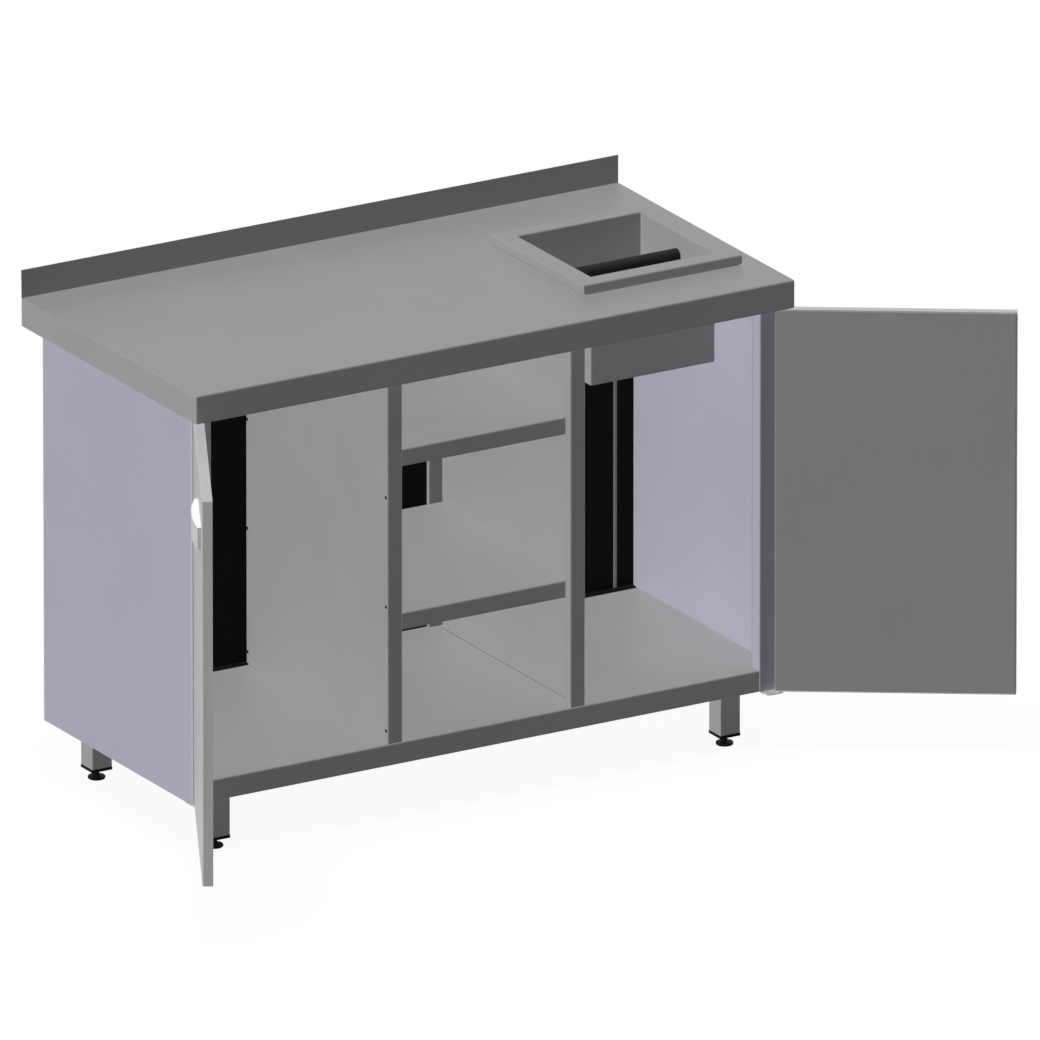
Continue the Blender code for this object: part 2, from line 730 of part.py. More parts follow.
def make_bracket(name, side, low, pin):
    """A flat pivot plate under the base or the top rail: a wide seat, and a narrow nose with a riveted pin."""
    left = INNER_X - BRACKET_WIDTH
    nose = INNER_X - BRACKET_NOSE_WIDTH
    front = HINGE_Y - BRACKET_NOSE
    rear = FRONT_Y + BRACKET_SEAT
    step = FRONT_Y + BRACKET_SEAT_SETBACK
    outline = [
        (INNER_X, rear),
        (left, rear),
        (left, step),
        (nose, step),
        *arc_corner((nose, step), (nose, front), (INNER_X, front), BRACKET_NOSE_RADIUS),
        *arc_corner((nose, front), (INNER_X, front), (INNER_X, rear), BRACKET_CORNER),
    ]
    bm = outline_mesh(name, on_side(outline, side), BRACKET_THICKNESS)
    bmesh.ops.translate(bm, verts=bm.verts, vec=(0, 0, low + BRACKET_THICKNESS / 2))
    bracket = part(name, to_mesh(name, bm), ZINC, smooth=True)
    mesh, place = pin
    weld(bracket, name + "_pin", group([(mesh, Matrix.Translation((side * HINGE_X, HINGE_Y, 0)) @ place)]))


def make_hinges():
    """Pivot plates above and below each door, each with the pin that the door turns on."""
    sunk = BRACKET_THICKNESS / 2
    top_length = TOP_BRACKET_Z + sunk - DOOR_TOP + PIN_REACH
    bottom_length = DOOR_BOTTOM + PIN_REACH - BOTTOM_BRACKET_Z - sunk
    head = PIN_HEAD_HEIGHT + sunk
    top_pin = turned_mesh(headed_profile(PIN_HEAD_RADIUS, head, PIN_RADIUS, top_length))
    bottom_pin = turned_mesh(headed_profile(PIN_HEAD_RADIUS, head, PIN_RADIUS, bottom_length))
    upright = Matrix.Translation((0, 0, TOP_BRACKET_Z + sunk))
    flipped = Matrix.Translation((0, 0, BOTTOM_BRACKET_Z + sunk)) @ Matrix.Rotation(math.pi, 4, "X")
    for name, side in (("left", -1), ("right", 1)):
        make_bracket("hinge_bracket_top_" + name, side, TOP_BRACKET_Z, (top_pin, upright))
        make_bracket("hinge_bracket_bottom_" + name, side, BOTTOM_BRACKET_Z, (bottom_pin, flipped))


def make_catches():
    """A magnet catch under the front rail beside each partition."""
    front = DOOR_INNER_Y + CATCH_DOOR_GAP
    high = RAIL_BOTTOM - SEAT_GAP
    low = high - CATCH_HEIGHT
    inner = PARTITION_X + CATCH_FROM_PARTITION
    for name, side in (("left", -1), ("right", 1)):
        ends = sorted((side * inner, side * (inner + CATCH_WIDTH)))
        bm = bmesh.new()
        add_box(bm, (ends[0], front, low), (ends[1], front + CATCH_DEPTH, high))
        catch = part("magnet_catch_" + name, to_mesh("magnet_catch_" + name, bm), BLACK_PLASTIC)
        pocket = bmesh.new()
        add_box(
            pocket,
            (ends[0] + CATCH_WALL, front - CUT_OVERSHOOT, low + CATCH_WALL),
            (ends[1] - CATCH_WALL, front + CATCH_DEPTH - CATCH_WALL, high - CATCH_WALL),
        )
        cut(catch, "magnet_pocket_" + name, pocket)
        inset = CATCH_WALL + SEAT_GAP
        magnet = bmesh.new()
        add_box(
            magnet,
            (ends[0] + inset, front - MAGNET_PROUD, low + inset),
            (ends[1] - inset, front + CATCH_DEPTH - inset, high - inset),
        )
        part("catch_magnet_" + name, to_mesh("catch_magnet_" + name, magnet), MAGNET)


def open_box(low, high, open_side):
    """The faces of a box without the one that looks to the open side, with their normals outward."""
    bm = bmesh.new()
    add_box(bm, low, high)
    bmesh.ops.recalc_face_normals(bm, faces=bm.faces)
    mouth = max(bm.faces, key=lambda face: face.normal.dot(Vector(open_side)))
    bmesh.ops.delete(bm, geom=[mouth], context="FACES_ONLY")
    return bm


def handle_bow(half, depth_cut, steps):
    """Points along the handle's bow, from its right to its left, moved in by the wall that is left."""
    rise = HANDLE_DEPTH - HANDLE_END_DEPTH
    radius = ((HANDLE_LENGTH / 2) ** 2 + rise**2) / (2 * rise)
    centre = HANDLE_DEPTH - radius
    reach = math.asin(half / (radius - depth_cut))
    turns = [reach * (1 - 2 * step / steps) for step in range(steps + 1)]
    return [
        ((radius - depth_cut) * math.sin(turn), -centre - (radius - depth_cut) * math.cos(turn)) for turn in turns
    ]


def make_handle(name, hinge, x):
    """A shell pull: a bowed cup with a closed top, open below for the fingers, with a lug at either end."""
    half = HANDLE_LENGTH / 2
    face = -DOOR_THICKNESS / 2 - SEAT_GAP
    high = DOOR_TOP - HANDLE_FROM_TOP
    low = high - HANDLE_HEIGHT
    outline = [(-half, 0), (half, 0), *handle_bow(half, 0, HANDLE_ARC_STEPS)]
    body = outline_mesh(name, outline, HANDLE_HEIGHT)
    handle = part(name, to_mesh(name, body), BRIGHT, hinge, (x, face, (low + high) / 2), smooth=True)
    bevel = handle.modifiers.new("Edges", "BEVEL")
    bevel.width = HANDLE_EDGE
    bevel.segments = HANDLE_EDGE_STEPS
    bevel.limit_method = "ANGLE"
    bevel.angle_limit = HANDLE_EDGE_ANGLE
    hollow = half - HANDLE_LUG
    bow = handle_bow(hollow, HANDLE_WALL, HANDLE_ARC_STEPS)
    depth = HANDLE_HEIGHT - HANDLE_WALL + CUT_OVERSHOOT
    cup = outline_mesh(name + "_cup", [(-hollow, CUT_OVERSHOOT), (hollow, CUT_OVERSHOOT), *bow], depth)
    bmesh.ops.translate(cup, verts=cup.verts, vec=(0, 0, -(HANDLE_WALL + CUT_OVERSHOOT) / 2))
    cut(handle, name + "_cup", cup)
    reach = half - HANDLE_LUG / 2
    for end, stud_x in (("inner", -reach), ("outer", reach)):
        stud = bmesh.new()
        length = HANDLE_STUD_ROOT + HANDLE_STUD_LENGTH
        middle = (stud_x, (HANDLE_STUD_LENGTH - HANDLE_STUD_ROOT) / 2, 0)
        add_cylinder(stud, middle, (0, 1, 0), HANDLE_STUD_RADIUS, length, SMALL_ROUND_STEPS)
        weld(handle, name + "_stud_" + end, stud)
    return (low + high) / 2, reach


def make_handle_plate(name, hinge, x, z, reach):
    """The backing plate behind the outer skin, on the handle's two studs."""
    inside = -DOOR_THICKNESS / 2 + DOOR_SKIN + SEAT_GAP
    back = inside + HANDLE_PLATE_THICKNESS
    half = HANDLE_LENGTH / 2
    tall = HANDLE_PLATE_HEIGHT / 2
    bm = bmesh.new()
    add_box(bm, (x - half, inside, z - tall), (x + half, back, z + tall))
    plate = part(name, to_mesh(name, bm), ZINC, hinge)
    holes = bmesh.new()
    for stud_x in (x - reach, x + reach):
        radius = HANDLE_STUD_RADIUS + RUNNING_CLEARANCE
        length = HANDLE_PLATE_THICKNESS + 2 * CUT_OVERSHOOT
        middle = (stud_x, (inside + back) / 2, z)
        add_cylinder(holes, middle, (0, 1, 0), radius, length, SMALL_ROUND_STEPS)
    cut(plate, name + "_holes", holes)


def bush_meshes():
    """The bushes in the top and bottom edge of a door, each with the collar that spaces it off its bracket."""
    bore = PIN_RADIUS + RUNNING_CLEARANCE
    collar_top = TOP_BRACKET_Z - SEAT_GAP
    collar_bottom = BOTTOM_BRACKET_Z + BRACKET_THICKNESS + SEAT_GAP
    upper_seat = DOOR_TOP + SEAT_GAP
    lower_seat = DOOR_BOTTOM - SEAT_GAP
    upper_end = DOOR_TOP - BUSH_LENGTH
    lower_end = DOOR_BOTTOM + BUSH_LENGTH
    upper = [
        (BUSH_FLANGE_RADIUS, collar_top),
        (BUSH_FLANGE_RADIUS, upper_seat),
        (BUSH_RADIUS, upper_seat),
        (BUSH_RADIUS, upper_end),
        (bore, upper_end),
        (bore, collar_top),
    ]
    lower = [
        (BUSH_RADIUS, lower_end),
        (BUSH_RADIUS, lower_seat),
        (BUSH_FLANGE_RADIUS, lower_seat),
        (BUSH_FLANGE_RADIUS, collar_bottom),
        (bore, collar_bottom),
        (bore, lower_end),
    ]
    return {"top": turned_mesh(upper, closed=True), "bottom": turned_mesh(lower, closed=True)}


def make_door(label, side, turn):
    """A double-skinned door about its pivot, drawn closed in the frame of its hinge."""
    hinge = empty(label + "_hinge", (side * HINGE_X, HINGE_Y, 0), turn, ROOT)
    outer_y = -DOOR_THICKNESS / 2
    inner_y = DOOR_THICKNESS / 2
    free = DOOR_WIDTH - HINGE_INSET
    ends = sorted((side * HINGE_INSET, -side * free))
    pan = open_box((ends[0], outer_y, DOOR_BOTTOM), (ends[1], inner_y, DOOR_TOP), (0, 1, 0))
    outer = part(label + "_outer_skin", to_mesh(label + "_outer_skin", pan), LIGHT_STEEL, hinge, smooth=True)
    round_folds(outer, DOOR_BEND)
    thicken(outer, DOOR_SKIN)

    rim = DOOR_SKIN + SEAT_GAP
    tray = open_box(
        (ends[0] + rim, inner_y - DOOR_INNER_FLANGE, DOOR_BOTTOM + rim),
        (ends[1] - rim, inner_y, DOOR_TOP - rim),
        (0, -1, 0),
    )
    inner = part(label + "_inner_skin", to_mesh(label + "_inner_skin", tray), STEEL, hinge, smooth=True)
    round_folds(inner, DOOR_BEND)
    thicken(inner, DOOR_SKIN)

    handle_x = -side * (free - HANDLE_FROM_EDGE - HANDLE_LENGTH / 2)
    handle_z, reach = make_handle(label + "_handle", hinge, handle_x)
    make_handle_plate(label + "_handle_plate", hinge, handle_x, handle_z, reach)

    holes = bmesh.new()
    for z in (DOOR_BOTTOM, DOOR_TOP):
        add_cylinder(holes, (0, 0, z), (0, 0, 1), BUSH_RADIUS + RUNNING_CLEARANCE, 2 * CUT_OVERSHOOT)
    for stud_x in (handle_x - reach, handle_x + reach):
        radius = HANDLE_STUD_RADIUS + RUNNING_CLEARANCE
        add_cylinder(
            holes, (stud_x, outer_y, handle_z), (0, 1, 0), radius, 2 * CUT_OVERSHOOT, SMALL_ROUND_STEPS
        )
    cut(outer, label + "_skin_holes", holes)
    for end, mesh in bush_meshes().items():
        part(label + "_bush_" + end, mesh, NYLON, hinge, smooth=True)


def make_knock_shell(seat, bar_z):
    """One pressed sheet: outer skirt, raised rim, bin walls and bin floor."""
    half = KNOCK_RIM / 2
    bm = bmesh.new()
    bmesh.ops.create_grid(
        bm, x_segments=1, y_segments=1, size=half, matrix=Matrix.Translation((0, 0, KNOCK_TOP))
    )
    mouth = bm.faces[:][0]
    bmesh.ops.inset_region(
        bm, faces=[mouth], thickness=KNOCK_BORDER, use_boundary=True, use_even_offset=True
    )
    skirt_edges = [edge for edge in bm.edges if edge.is_boundary]
    floor = bmesh.ops.extrude_discrete_faces(bm, faces=[mouth])["faces"][0]
    bmesh.ops.translate(bm, verts=floor.verts, vec=(0, 0, -KNOCK_DEPTH))
    skirt = bmesh.ops.extrude_edge_only(bm, edges=skirt_edges)["geom"]
    verts = [item for item in skirt if isinstance(item, bmesh.types.BMVert)]
    bmesh.ops.translate(bm, verts=verts, vec=(0, 0, -KNOCK_RIM_HEIGHT))
    face_out(bm, floor, (0, 0, 1))
    shell = part("knock_box_shell", to_mesh("knock_box_shell", bm), STEEL, seat, smooth=True)
    round_folds(shell, KNOCK_BEND)
    thicken(shell, KNOCK_SHEET)
    holes = bmesh.new()
    for side in (-1, 1):
        add_cylinder(
            holes,
            (side * KNOCK_OPENING / 2, 0, bar_z),
            (1, 0, 0),
            BAR_END_RADIUS + RUNNING_CLEARANCE,
            2 * CUT_OVERSHOOT,
        )
    cut(shell, "knock_box_bar_holes", holes)


def make_knock_bar(seat, bar_z):
    """A steel core whose stepped ends go through the bin walls to a nut each, inside a thick rubber sleeve."""
    shoulder = KNOCK_OPENING / 2 - SEAT_GAP
    outside = KNOCK_OPENING / 2 + KNOCK_SHEET + SEAT_GAP
    tip = outside + BAR_NUT_HEIGHT
    along_x = Matrix.Translation((0, 0, bar_z)) @ Matrix.Rotation(math.pi / 2, 4, "Y")
    core = turned_mesh(
        [
            (0, tip),
            (BAR_END_RADIUS, tip),
            (BAR_END_RADIUS, shoulder),
            (BAR_CORE_RADIUS, shoulder),
            (BAR_CORE_RADIUS, -shoulder),
            (BAR_END_RADIUS, -shoulder),
            (BAR_END_RADIUS, -tip),
            (0, -tip),
        ]
    )
    part("knock_bar_core", to_mesh("knock_bar_core", group([(core, along_x)])), STEEL, seat, smooth=True)
    end = shoulder - BAR_SLEEVE_END_GAP
    sleeve = turned_mesh(tube_profile(BAR_RADIUS, BAR_CORE_RADIUS + SEAT_GAP, end, -end), closed=True)
    part("knock_bar_sleeve", to_mesh("knock_bar_sleeve", group([(sleeve, along_x)])), RUBBER, seat, smooth=True)
    hole = BAR_END_RADIUS + RUNNING_CLEARANCE
    for name, side in (("left", -1), ("right", 1)):
        middle = (side * (outside + BAR_NUT_HEIGHT / 2), 0, bar_z)
        body = bmesh.new()
        add_cylinder(body, middle, (1, 0, 0), BAR_NUT_RADIUS, BAR_NUT_HEIGHT, NUT_SIDES)
        nut = part("knock_bar_nut_" + name, to_mesh("knock_bar_nut_" + name, body), ZINC, seat)
        bore = bmesh.new()
        add_cylinder(bore, middle, (1, 0, 0), hole, BAR_NUT_HEIGHT + 2 * CUT_OVERSHOOT)
        cut(nut, "knock_bar_nut_bore_" + name, bore)


def make_knock_box():
    """The knock box hangs by its rim in the worktop and lifts out with its bar."""
    seat = empty("knock_box_seat", (KNOCK_X, KNOCK_Y, 0), parent=ROOT)
    bar_z = KNOCK_TOP - BAR_DROP
    make_knock_shell(seat, bar_z)
    make_knock_bar(seat, bar_z)
    ring = bmesh.new()
    high = GASKET_Z + GASKET_THICKNESS
    inner_edge = list(reversed(square(0, 0, KNOCK_RIM / 2 - GASKET_WIDTH)))
    add_fold(ring, inner_edge, "Z", GASKET_Z, high, KNOCK_BEND, closed=True)
    gasket = part("knock_box_gasket", to_mesh("knock_box_gasket", ring), RUBBER, seat, smooth=True)
    thicken(gasket, GASKET_WIDTH)


def centre_footprint():
    """Moves the whole station so that the origin is on the floor in the middle of its box."""
    bpy.context.view_layer.update()
    graph = bpy.context.evaluated_depsgraph_get()
    corners = []
    for piece in PARTS.objects:
        if piece.type == "MESH":
            solid = piece.evaluated_get(graph)
            points = np.array([solid.matrix_world @ vert.co for vert in solid.data.vertices])
            corners += [points.min(axis=0), points.max(axis=0)]
    middle = (np.min(corners, axis=0) + np.max(corners, axis=0)) / 2
    ROOT.location = (-middle[0], -middle[1], 0)


make_worktop()
make_top_frame()
make_side_panel("side_panel_left", -1)
make_side_panel("side_panel_right", 1)
make_base()
make_partition("partition_left", -1)
make_partition("partition_right", 1)
make_shelves()
make_back()
make_legs()
make_hinges()
make_catches()
make_door("door_left", -1, -LEFT_DOOR_OPEN)
make_door("door_right", 1, RIGHT_DOOR_OPEN)
make_knock_box()
centre_footprint()
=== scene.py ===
"""Looks for the bar station: finishes, small fasteners, thin trim, studio light and the camera."""

import json
import math

import bmesh
import bpy
from mathutils import Matrix, Vector


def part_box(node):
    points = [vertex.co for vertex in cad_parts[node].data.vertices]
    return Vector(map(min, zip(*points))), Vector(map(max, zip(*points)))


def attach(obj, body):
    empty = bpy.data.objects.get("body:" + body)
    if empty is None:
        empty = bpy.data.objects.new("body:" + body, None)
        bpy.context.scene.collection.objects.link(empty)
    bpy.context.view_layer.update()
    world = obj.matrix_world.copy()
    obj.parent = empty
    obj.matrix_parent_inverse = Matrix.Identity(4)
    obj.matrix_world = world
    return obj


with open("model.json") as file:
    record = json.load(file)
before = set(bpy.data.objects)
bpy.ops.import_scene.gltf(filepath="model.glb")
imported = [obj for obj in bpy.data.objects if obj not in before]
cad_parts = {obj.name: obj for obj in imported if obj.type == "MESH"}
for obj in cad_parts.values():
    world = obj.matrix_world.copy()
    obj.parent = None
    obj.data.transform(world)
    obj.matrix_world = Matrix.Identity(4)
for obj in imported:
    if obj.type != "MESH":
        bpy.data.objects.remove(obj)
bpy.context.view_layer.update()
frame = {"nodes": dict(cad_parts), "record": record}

# Each side's direction along X, and the directions of the row's frame
SIDES = {"left": -1, "right": 1}
LEFTWARD = (-1, 0, 0)
FORWARD = (0, -1, 0)
BACKWARD = (0, 1, 0)
DOWN = (0, 0, -1)
UP = (0, 0, 1)


# Building blocks of the materials
TINT_START = 0.15
TINT_END = 0.85
EVEN = (1, 1, 1)


def grey(level):
    return (level, level, level)


def new_material(name, colour, roughness, metallic, specular):
    material = bpy.data.materials.new(name)
    material.use_nodes = True
    shader = material.node_tree.nodes["Principled BSDF"]
    shader.inputs["Base Color"].default_value = (*colour, 1)
    shader.inputs["Roughness"].default_value = roughness
    shader.inputs["Metallic"].default_value = metallic
    shader.inputs["Specular IOR Level"].default_value = specular
    return material, shader


def add_node(material, kind, **values):
    node = material.node_tree.nodes.new(kind)
    for key, value in values.items():
        setattr(node, key, value)
    return node


def link(material, source, target):
    material.node_tree.links.new(source, target)


def stretched_noise(material, stretch, scale, detail, rough):
    """Noise in the object's own coordinates, stretched by a factor on each axis."""
    place = add_node(material, "ShaderNodeTexCoord")
    mapping = add_node(material, "ShaderNodeMapping")
    mapping.inputs["Scale"].default_value = stretch
    noise = add_node(material, "ShaderNodeTexNoise")
    noise.inputs["Scale"].default_value = scale
    noise.inputs["Detail"].default_value = detail
    noise.inputs["Roughness"].default_value = rough
    link(material, place.outputs["Object"], mapping.inputs["Vector"])
    link(material, mapping.outputs["Vector"], noise.inputs["Vector"])
    return noise.outputs["Fac"]


def mixed(material, first, second, share):
    """A weighted mean of two noise values."""
    node = add_node(material, "ShaderNodeMix", data_type="FLOAT")
    node.inputs["Factor"].default_value = share
    link(material, first, node.inputs["A"])
    link(material, second, node.inputs["B"])
    return node.outputs["Result"]


def product(material, first, second):
    node = add_node(material, "ShaderNodeMath", operation="MULTIPLY")
    link(material, first, node.inputs[0])
    link(material, second, node.inputs[1])
    return node.outputs["Value"]


def remap(material, value, low, high, start=0.3, end=0.7):
    """Takes a value from the range of start and end to the range of low and high."""
    node = add_node(material, "ShaderNodeMapRange")
    node.inputs["From Min"].default_value = start
    node.inputs["From Max"].default_value = end
    node.inputs["To Min"].default_value = low
    node.inputs["To Max"].default_value = high
    link(material, value, node.inputs["Value"])
    return node.outputs["Result"]


def tint(material, shader, value, colour, darker, lighter):
    """Varies the base colour between two shades of itself."""
    ramp = add_node(material, "ShaderNodeValToRGB")
    low, high = ramp.color_ramp.elements
    low.position = TINT_START
    low.color = (*(part * darker for part in colour), 1)
    high.position = TINT_END
    high.color = (*(part * lighter for part in colour), 1)
    link(material, value, ramp.inputs["Fac"])
    link(material, ramp.outputs["Color"], shader.inputs["Base Color"])


def vary_roughness(material, shader, value, roughness, less, more):
    varied = remap(material, value, roughness - less, roughness + more)
    link(material, varied, shader.inputs["Roughness"])


def bump(material, shader, value, strength, distance):
    node = add_node(material, "ShaderNodeBump")
    node.inputs["Strength"].default_value = strength
    node.inputs["Distance"].default_value = distance
    link(material, value, node.inputs["Height"])
    link(material, node.outputs["Normal"], shader.inputs["Normal"])


def facing(material, direction, start, end):
    """How far a surface faces a direction of the object's own frame, from 0 to 1."""
    place = add_node(material, "ShaderNodeTexCoord")
    dot = add_node(material, "ShaderNodeVectorMath", operation="DOT_PRODUCT")
    dot.inputs[1].default_value = direction
    link(material, place.outputs["Normal"], dot.inputs[0])
    return remap(material, dot.outputs["Value"], 0.0, 1.0, start, end)


def band(material, axis, middle, reach):
    """1 where one coordinate of the object's own frame is within reach of a value, and 0 elsewhere."""
    place = add_node(material, "ShaderNodeTexCoord")
    parts = add_node(material, "ShaderNodeSeparateXYZ")
    inside = add_node(material, "ShaderNodeMath", operation="COMPARE")
    inside.inputs[1].default_value = middle
    inside.inputs[2].default_value = reach
    link(material, place.outputs["Object"], parts.inputs["Vector"])
    link(material, parts.outputs[axis], inside.inputs[0])
    return inside.outputs["Value"]


def repaint(material, share, colour):
    """Mixes another colour into the base colour where the share is high."""
    shader = material.node_tree.nodes["Principled BSDF"]
    below = shader.inputs["Base Color"].links[0].from_socket
    mix = add_node(material, "ShaderNodeMix", data_type="RGBA")
    mix.inputs["B"].default_value = (*colour, 1)
    link(material, share, mix.inputs["Factor"])
    link(material, below, mix.inputs["A"])
    link(material, mix.outputs["Result"], shader.inputs["Base Color"])


# Kinds of finish
SATIN_ROUGHNESS = 0.42
SATIN_METALLIC = 0.05
SATIN_SPECULAR = 0.09
GRAIN_STRETCH = {"X": (1.5, 90, 90), "Y": (90, 1.5, 90), "Z": (90, 90, 1.5)}
WIPE_STRETCH = (8, 8, 60)


def brushed(name, grain, base):
    """Satin stainless sheet: fine brushed lines along the grain axis and faint wide handling marks."""
    material, shader = new_material(name, grey(base), SATIN_ROUGHNESS, SATIN_METALLIC, SATIN_SPECULAR)
    lines = stretched_noise(material, GRAIN_STRETCH[grain], scale=9.0, detail=6.0, rough=0.65)
    clouds = stretched_noise(material, EVEN, scale=5.0, detail=3.0, rough=0.5)
    both = mixed(material, lines, clouds, share=0.4)
    tint(material, shader, both, grey(base), darker=0.9, lighter=1.1)
    vary_roughness(material, shader, both, SATIN_ROUGHNESS, less=0.07, more=0.08)
    bump(material, shader, lines, strength=0.12, distance=0.0004)
    return material


def coated(name, colour, roughness, specular):
    """Powder coating: a fine orange-peel surface with faint cloudiness."""
    material, shader = new_material(name, colour, roughness, 0.0, specular)
    peel = stretched_noise(material, EVEN, scale=900.0, detail=3.0, rough=0.5)
    clouds = stretched_noise(material, EVEN, scale=4.0, detail=3.0, rough=0.5)
    both = mixed(material, peel, clouds, share=0.6)
    tint(material, shader, both, colour, darker=0.95, lighter=1.05)
    vary_roughness(material, shader, clouds, roughness, less=0.05, more=0.06)
    bump(material, shader, peel, strength=0.15, distance=0.0002)
    return material


def moulded(name, colour, roughness, specular=0.1, scale=700.0, depth=0.0003, spread=0.25):
    """Moulded plastic or rubber with a fine spark-eroded grain."""
    material, shader = new_material(name, colour, roughness, 0.0, specular)
    grain = stretched_noise(material, EVEN, scale, detail=2.0, rough=0.5)
    wear = stretched_noise(material, EVEN, scale=30.0, detail=4.0, rough=0.6)
    tint(material, shader, wear, colour, darker=1 - spread, lighter=1 + spread)
    vary_roughness(material, shader, wear, roughness, less=0.08, more=0.08)
    bump(material, shader, grain, strength=0.2, distance=depth)
    return material


def polished(name, base, roughness, metallic, specular):
    """Bright plated metal with fine wipe marks."""
    material, shader = new_material(name, grey(base), roughness, metallic, specular)
    marks = stretched_noise(material, WIPE_STRETCH, scale=12.0, detail=4.0, rough=0.6)
    tint(material, shader, marks, grey(base), darker=0.95, lighter=1.04)
    vary_roughness(material, shader, marks, roughness, less=0.05, more=0.08)
    return material


# Levels of the steels and colours of the side panels
STEEL = 0.29
DOOR_STEEL = 0.38
EDGE_STEEL = 0.50
HANDLE_PAINTED_HIGHLIGHT = 0.87
JOINT_STEEL = 0.21
# Greys of painted shade: the partitions' rear flanges, the worktop's upstand, and bends and cut edges
PARTITION_REAR_SHADE = 0.21
UPSTAND_SHADE = 0.25
PAINTED_SHADE_STEEL = 0.15
LAVENDER = (0.365, 0.36, 0.435)
# Over the coating: painted shade on the front return and the lip's end, and a painted highlight on the bend
LAVENDER_FRONT_SHADE = (0.345, 0.34, 0.405)
LAVENDER_LIP_SHADE = (0.30, 0.295, 0.36)
LAVENDER_BEND_HIGHLIGHT = (0.70, 0.69, 0.80)

# The lip's length, and the reach of the painted shade and highlight at edges, in metres
LIP_LENGTH = 0.027
LIP_EDGE = 0.003
BEND_EDGE = 0.0045
REAR_EDGE = 0.006


def handle_metal():
    """Satin cast metal, with a painted highlight: its upward faces are painted near white."""
    material = brushed("handle_metal", "Z", EDGE_STEEL)
    # Painted highlight: upward faces get a near-white tone.
    repaint(material, facing(material, UP, start=0.5, end=0.9), grey(HANDLE_PAINTED_HIGHLIGHT))
    return material


def door_inward(label):
    """The direction that a door's inner face looks in at rest, from the turn that closes the door."""
    joints = {joint["name"]: joint for joint in frame["record"]["behaviour"]["joints"]}
    closing = max(joints[f"door_{label}_hinge"]["range_deg"], key=abs)
    return Matrix.Rotation(-math.radians(closing), 3, "Z") @ Vector(BACKWARD)


def door_hingeward(label):
    """The direction from a door's free edge to its hinge, at rest."""
    return door_inward(label).cross(Vector((0, 0, SIDES[label])))


def door_skin(label):
    """Door sheet toned by face direction: lighter on the edges than on the outer face, as painted light and
    shade, with painted shade on the rim inside and at the hinge.
    """
    material = brushed(f"door_{label}_sheet", "Z", EDGE_STEEL)
    inward = door_inward(label)
    hingeward = door_hingeward(label)
    # The outer face gets its own tone, and the inner rim and the hinge edge a darker one, set by face
    # direction: painted light and shade.
    repaint(material, facing(material, -inward, start=0.6, end=0.9), grey(DOOR_STEEL))
    repaint(material, facing(material, inward, start=0.4, end=0.75), grey(STEEL))
    repaint(material, facing(material, hingeward, start=0.1, end=0.6), grey(PAINTED_SHADE_STEEL))
    return material


def door_liner(label):
    """The inner sheet of a door, with painted shade on its bends at the hinge and at the foot."""
    material = brushed(f"door_{label}_liner", "Z", STEEL)
    # Painted shade on the hinge-side and lower bends.
    for direction in (door_hingeward(label), DOWN):
        repaint(material, facing(material, direction, start=0.05, end=0.45), grey(PAINTED_SHADE_STEEL))
    return material


def side_coating(label):
    """A side panel's coating, with painted shade on the front return and at the end of the right lip, and a
    painted highlight on the left bend.
    """
    material = coated(f"lavender_coating_{label}", LAVENDER, roughness=0.4, specular=0.08)
    # Painted shade on the front-facing return.
    repaint(material, facing(material, FORWARD, start=0.9, end=0.99), LAVENDER_FRONT_SHADE)
    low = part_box("side_panel_" + label)[0]
    if label == "right":
        # Painted shade: a dark line along the end of the right panel's lip.
        at_lip = band(material, "X", low.x, LIP_EDGE)
        at_end = band(material, "Y", low.y + LIP_LENGTH, LIP_EDGE)
        repaint(material, product(material, at_lip, at_end), LAVENDER_LIP_SHADE)
    else:
        # Painted highlight: the left panel's front bend is painted paler to offset its shade.
        at_bend = band(material, "X", low.x, BEND_EDGE)
        to_front = facing(material, FORWARD, start=0.2, end=0.9)
        repaint(material, product(material, at_bend, to_front), LAVENDER_BEND_HIGHLIGHT)
    return material


def steel_with_rear_shade(name, grain, node, rear):
    """Brushed steel of a node with painted shade on the front of its rearmost sheet."""
    material = brushed(name, grain, STEEL)
    # Painted shade on the front-facing rearmost sheet.
    at_rear = band(material, "Y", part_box(node)[1].y, REAR_EDGE)
    to_front = facing(material, FORWARD, start=0.8, end=0.95)
    repaint(material, product(material, at_rear, to_front), grey(rear))
    return material


def flange_steel():
    """Steel of the bay's foot flanges, with painted shade on their left-facing cut edges."""
    material = brushed("foot_flange_steel", "Y", STEEL)
    # Painted shade on the left-facing edges.
    repaint(material, facing(material, LEFTWARD, start=0.3, end=0.8), grey(PAINTED_SHADE_STEEL))
    return material


# The finishes
STEEL_X = brushed("steel_along_x", "X", STEEL)
STEEL_Y = brushed("steel_along_y", "Y", STEEL)
STEEL_Z = brushed("steel_upright", "Z", STEEL)
JOINT = brushed("joint_strip_steel", "Z", JOINT_STEEL)
PARTITION = steel_with_rear_shade("partition_steel", "Z", "partition_left", PARTITION_REAR_SHADE)
WORKTOP = steel_with_rear_shade("worktop_steel", "X", "worktop", UPSTAND_SHADE)
FLANGE = flange_steel()
HANDLE = handle_metal()
ZINC = polished("zinc_plate", base=0.5, roughness=0.35, metallic=0.3, specular=0.5)
BLACK = coated("black_coating", grey(0.0058), roughness=0.6, specular=0.03)
PLASTIC = moulded("black_moulding", grey(0.004), roughness=0.5, specular=0.03)
RUBBER = moulded("knock_rubber", (0.012, 0.012, 0.0125), roughness=0.65, scale=500.0, depth=0.0004)
SILICONE = moulded("gasket_silicone", grey(0.22), roughness=0.5, depth=0.0002, spread=0.08)
NYLON = moulded(
    "bush_nylon",
    (0.55, 0.55, 0.53),
    roughness=0.45,
    specular=0.3,
    scale=900.0,
    depth=0.0002,
    spread=0.06,
)
MAGNET = moulded(
    "magnet_block",
    (0.05, 0.05, 0.055),
    roughness=0.4,
    specular=0.3,
    scale=900.0,
    depth=0.0001,
)

